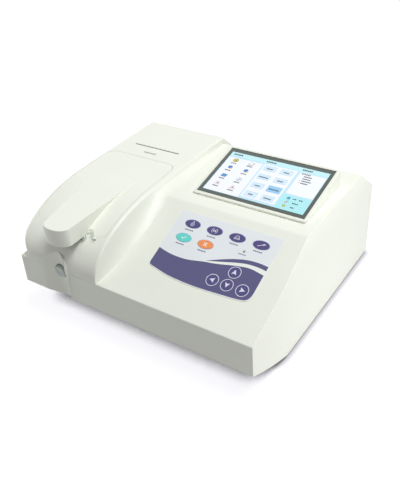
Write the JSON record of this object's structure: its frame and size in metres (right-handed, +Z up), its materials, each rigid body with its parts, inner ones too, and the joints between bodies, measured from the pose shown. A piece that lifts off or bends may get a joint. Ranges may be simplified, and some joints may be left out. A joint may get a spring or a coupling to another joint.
{
  "type": "semi-automatic chemistry analyzer",
  "caption": "Bench analyzer with a sloping membrane keypad, a tilted touch screen and a raised module with a lift-off cover whose tongue reaches over a sample-tube groove.",
  "frame": {"origin": "on the table, under the middle of the whole instrument", "axes": "+X to the operator's right, +Y away from the operator, +Z up"},
  "size_m": [0.381, 0.3594, 0.1758],
  "materials": {
    "ivory_plastic": "fine satin moulded",
    "screen_glass": "gloss",
    "display_back": "plain",
    "keypad_film": "semi-gloss printed film",
    "led_lens": "gloss",
    "button_grey": "satin",
    "black_plastic": "satin moulded",
    "clear_hose": "clear silicone",
    "bright_steel": "bright",
    "base_steel": "zinc plated",
    "rubber_feet": "matte",
    "cast_metal": "cast and machined",
    "black_metal": "black anodised",
    "quartz": "polished",
    "board_green": "solder mask",
    "roll_paper": "smooth thermal paper",
    "rear_aluminium": "satin anodised"
  },
  "bodies": {
    "case": {"housing": "ivory_plastic", "lcd_bezel": "ivory_plastic", "touch_glass": "screen_glass", "lcd_panel": "display_back", "keypad_overlay": "keypad_film", "power_led": "led_lens", "button_spring": "bright_steel", "button_switch": "black_plastic", "sample_probe": "bright_steel", "probe_bracket": "bright_steel", "sample_tube": "clear_hose", "tube_grommet": "black_plastic", "base_plate": "base_steel", "foot_1": "rubber_feet", "foot_2": "rubber_feet", "foot_3": "rubber_feet", "foot_4": "rubber_feet", "base_screw_1": "bright_steel", "base_screw_2": "bright_steel", "base_screw_3": "bright_steel", "base_screw_4": "bright_steel", "optical_bench": "cast_metal", "flow_cell_block": "cast_metal", "flow_cell": "quartz", "detector_housing": "black_metal", "lamp_housing": "black_metal", "halogen_lamp": "quartz", "filter_motor": "black_metal", "pump_motor": "bright_steel", "pump_body": "black_plastic", "pump_hose": "clear_hose", "printer_frame": "base_steel", "print_head": "cast_metal", "main_board": "board_green", "power_supply": "base_steel", "rear_panel": "rear_aluminium", "mains_inlet": "black_plastic", "switch_bezel": "black_plastic", "serial_port": "bright_steel", "usb_port": "bright_steel", "waste_fitting": "black_plastic", "fan_frame": "black_plastic"},
    "cover": {"arm_cover": "ivory_plastic"},
    "latch": {"cover_latch": "ivory_plastic"},
    "button": {"aspirate_button": "button_grey"},
    "rocker": {"power_switch": "black_plastic"},
    "fan": {"fan_rotor": "black_plastic"},
    "pump": {"pump_rotor": "button_grey"},
    "filters": {"filter_wheel": "black_metal"},
    "platen": {"platen_roller": "rubber_feet"},
    "roll": {"paper_roll": "roll_paper"}
  },
  "joints": [
    {"name": "cover_lift", "type": "slide", "parent": "case", "child": "cover", "axis": [0, 0, 1], "range_m": [0, 0.06]},
    {"name": "latch_slide", "type": "slide", "parent": "case", "child": "latch", "axis": [0, 1, 0], "range_m": [0, 0.0025], "stiffness_N_per_m": 300, "springref_m": -0.001},
    {"name": "aspirate_press", "type": "slide", "parent": "case", "child": "button", "axis": [0, 1, 0], "range_m": [0, 0.003], "stiffness_N_per_m": 400, "springref_m": -0.001, "deforming": ["button_spring"]},
    {"name": "power_rock", "type": "hinge", "parent": "case", "child": "rocker", "pos_m": [0.0433, 0.17355, 0.0585], "axis": [1, 0, 0], "range_deg": [0, 16]},
    {"name": "fan_spin", "type": "hinge", "parent": "case", "child": "fan", "pos_m": [0.1376, 0.1675, 0.0585], "axis": [0, 1, 0], "continuous": true},
    {"name": "pump_spin", "type": "hinge", "parent": "case", "child": "pump", "pos_m": [-0.0798, -0.04525, 0.0614], "axis": [0, 0, 1], "continuous": true},
    {"name": "filter_spin", "type": "hinge", "parent": "case", "child": "filters", "pos_m": [-0.139, 0.00675, 0.0368], "axis": [0, 1, 0], "continuous": true},
    {"name": "platen_spin", "type": "hinge", "parent": "case", "child": "platen", "pos_m": [-0.1165, 0.06955, 0.1415], "axis": [1, 0, 0], "continuous": true},
    {"name": "roll_spin", "type": "hinge", "parent": "case", "child": "roll", "pos_m": [-0.1165, 0.09755, 0.1035], "axis": [1, 0, 0], "continuous": true}
  ],
  "couplings": [
    {"joint": "roll_spin", "follows": "platen_spin", "ratio": 0.25}
  ]
}
